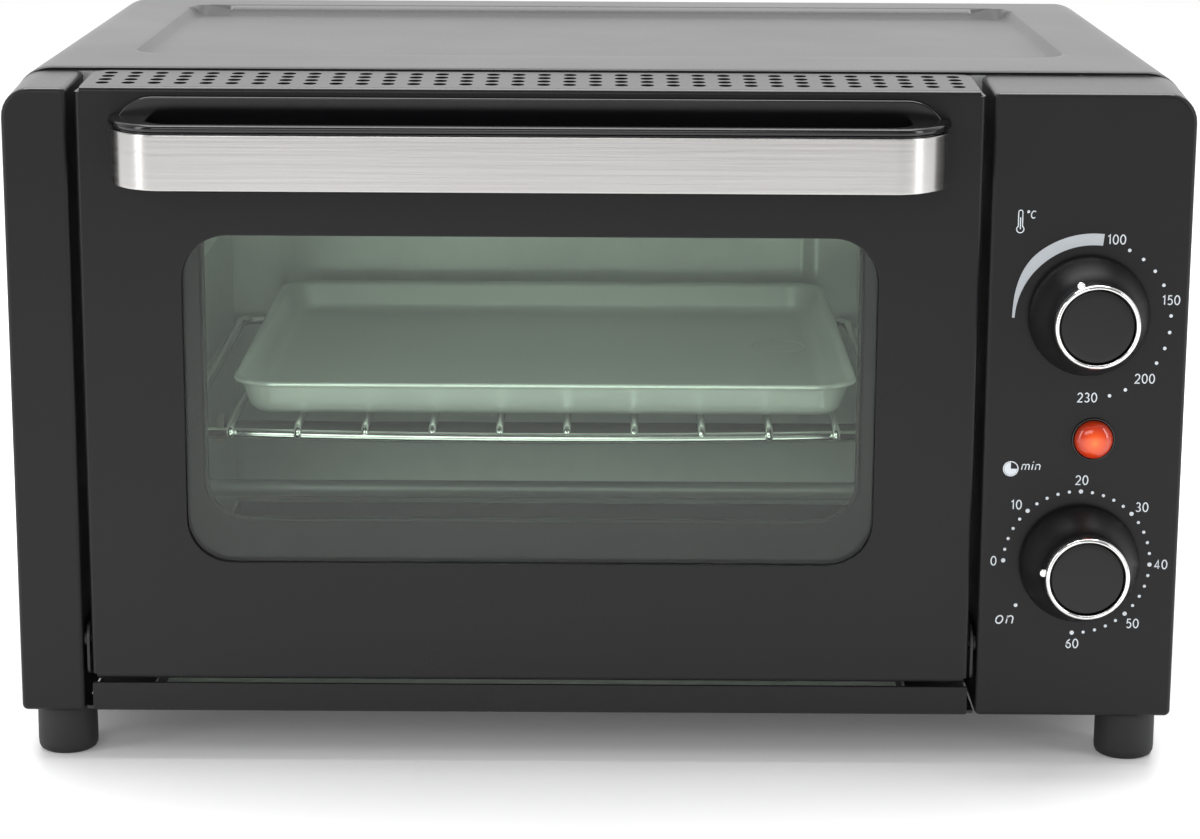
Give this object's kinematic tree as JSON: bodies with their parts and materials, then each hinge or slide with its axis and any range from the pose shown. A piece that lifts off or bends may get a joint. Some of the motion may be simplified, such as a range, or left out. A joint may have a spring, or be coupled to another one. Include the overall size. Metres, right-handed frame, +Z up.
{
  "type": "toaster oven",
  "caption": "Table-top toaster oven with a drop-down window door, bar handle, two rotary controls, wire rack, baking pan and crumb tray.",
  "frame": {"origin": "bottom centre of the bounding box, on the plane the feet stand on", "axes": "+X to the right of someone facing the oven, +Y from the door to the back, +Z up"},
  "size_m": [0.364, 0.278, 0.2143],
  "materials": {
    "body_paint": "fine satin charcoal paint",
    "plated_sheet": "zinc-plated steel",
    "aluminised_sheet": "dull aluminised sheet",
    "foot_rubber": "matt",
    "heater_tube": "frosted quartz tube",
    "ceramic_sleeve": "unglazed",
    "chrome": "bright plating",
    "door_glass": "clear tempered glass with a faint green tint",
    "black_plastic": "glossy black moulding",
    "brushed_band": "long-grain brushed",
    "moulded_resin": "matt phenolic",
    "red_lens": "translucent red-orange"
  },
  "bodies": {
    "housing": {"outer_shell": "body_paint", "back_panel": "plated_sheet", "base_panel": "plated_sheet", "left_pillar": "body_paint", "control_panel": "body_paint", "front_frame": "plated_sheet", "heat_shield": "aluminised_sheet", "cavity_left_wall": "aluminised_sheet", "cavity_right_wall": "aluminised_sheet", "cavity_top": "aluminised_sheet", "cavity_back": "aluminised_sheet", "foot_front_left": "foot_rubber", "foot_front_right": "foot_rubber", "foot_back_left": "foot_rubber", "foot_back_right": "foot_rubber", "heater_lower_front": "heater_tube", "heater_lower_rear": "heater_tube", "heater_upper_front": "heater_tube", "heater_upper_rear": "heater_tube", "heater_ceramic_lower_front_left": "ceramic_sleeve", "heater_ceramic_lower_front_right": "ceramic_sleeve", "heater_ceramic_lower_rear_left": "ceramic_sleeve", "heater_ceramic_lower_rear_right": "ceramic_sleeve", "heater_ceramic_upper_front_left": "ceramic_sleeve", "heater_ceramic_upper_front_right": "ceramic_sleeve", "heater_ceramic_upper_rear_left": "ceramic_sleeve", "heater_ceramic_upper_rear_right": "ceramic_sleeve", "hinge_ear_left": "plated_sheet", "hinge_ear_right": "plated_sheet", "hinge_pin_left": "plated_sheet", "hinge_pin_right": "plated_sheet", "thermostat": "moulded_resin", "timer": "moulded_resin", "pilot_lens": "red_lens", "pilot_lamp_holder": "moulded_resin", "terminal_block": "moulded_resin", "cord_gland": "foot_rubber"},
    "door": {"door_panel": "body_paint", "door_glass": "door_glass", "glass_clip_top": "plated_sheet", "glass_clip_bottom": "plated_sheet", "door_inner_panel": "body_paint", "handle_body": "black_plastic", "handle_band": "brushed_band", "handle_screw_left": "plated_sheet", "handle_screw_right": "plated_sheet", "hinge_bracket_left": "plated_sheet", "hinge_bracket_right": "plated_sheet"},
    "temperature_control": {"temperature_knob": "black_plastic", "temperature_knob_ring": "chrome", "temperature_knob_pointer": "chrome", "temperature_shaft": "plated_sheet"},
    "timer_control": {"timer_knob": "black_plastic", "timer_knob_ring": "chrome", "timer_knob_pointer": "chrome", "timer_shaft": "plated_sheet"},
    "rack": {"wire_rack": "chrome"},
    "pan": {"baking_pan": "aluminised_sheet"},
    "tray": {"crumb_tray": "body_paint"}
  },
  "joints": [
    {"name": "door_hinge", "type": "hinge", "parent": "housing", "child": "door", "pos_m": [-0.02075, -0.11, 0.0386], "axis": [1, 0, 0], "range_deg": [0, 90]},
    {"name": "temperature_dial", "type": "hinge", "parent": "housing", "child": "temperature_control", "pos_m": [0.1494, -0.114, 0.1441], "axis": [0, 1, 0], "range_deg": [-66, 201]},
    {"name": "timer_dial", "type": "hinge", "parent": "housing", "child": "timer_control", "pos_m": [0.1494, -0.114, 0.066], "axis": [0, 1, 0], "range_deg": [-43, 265]},
    {"name": "crumb_tray_slide", "type": "slide", "parent": "housing", "child": "tray", "axis": [0, -1, 0], "range_m": [0, 0.135]},
    {"name": "rack_slide", "type": "slide", "parent": "housing", "child": "rack", "axis": [0, -1, 0], "range_m": [0, 0.012]},
    {"name": "pan_lift", "type": "slide", "parent": "rack", "child": "pan", "axis": [0, 0, 1], "range_m": [0, 0.04]}
  ]
}
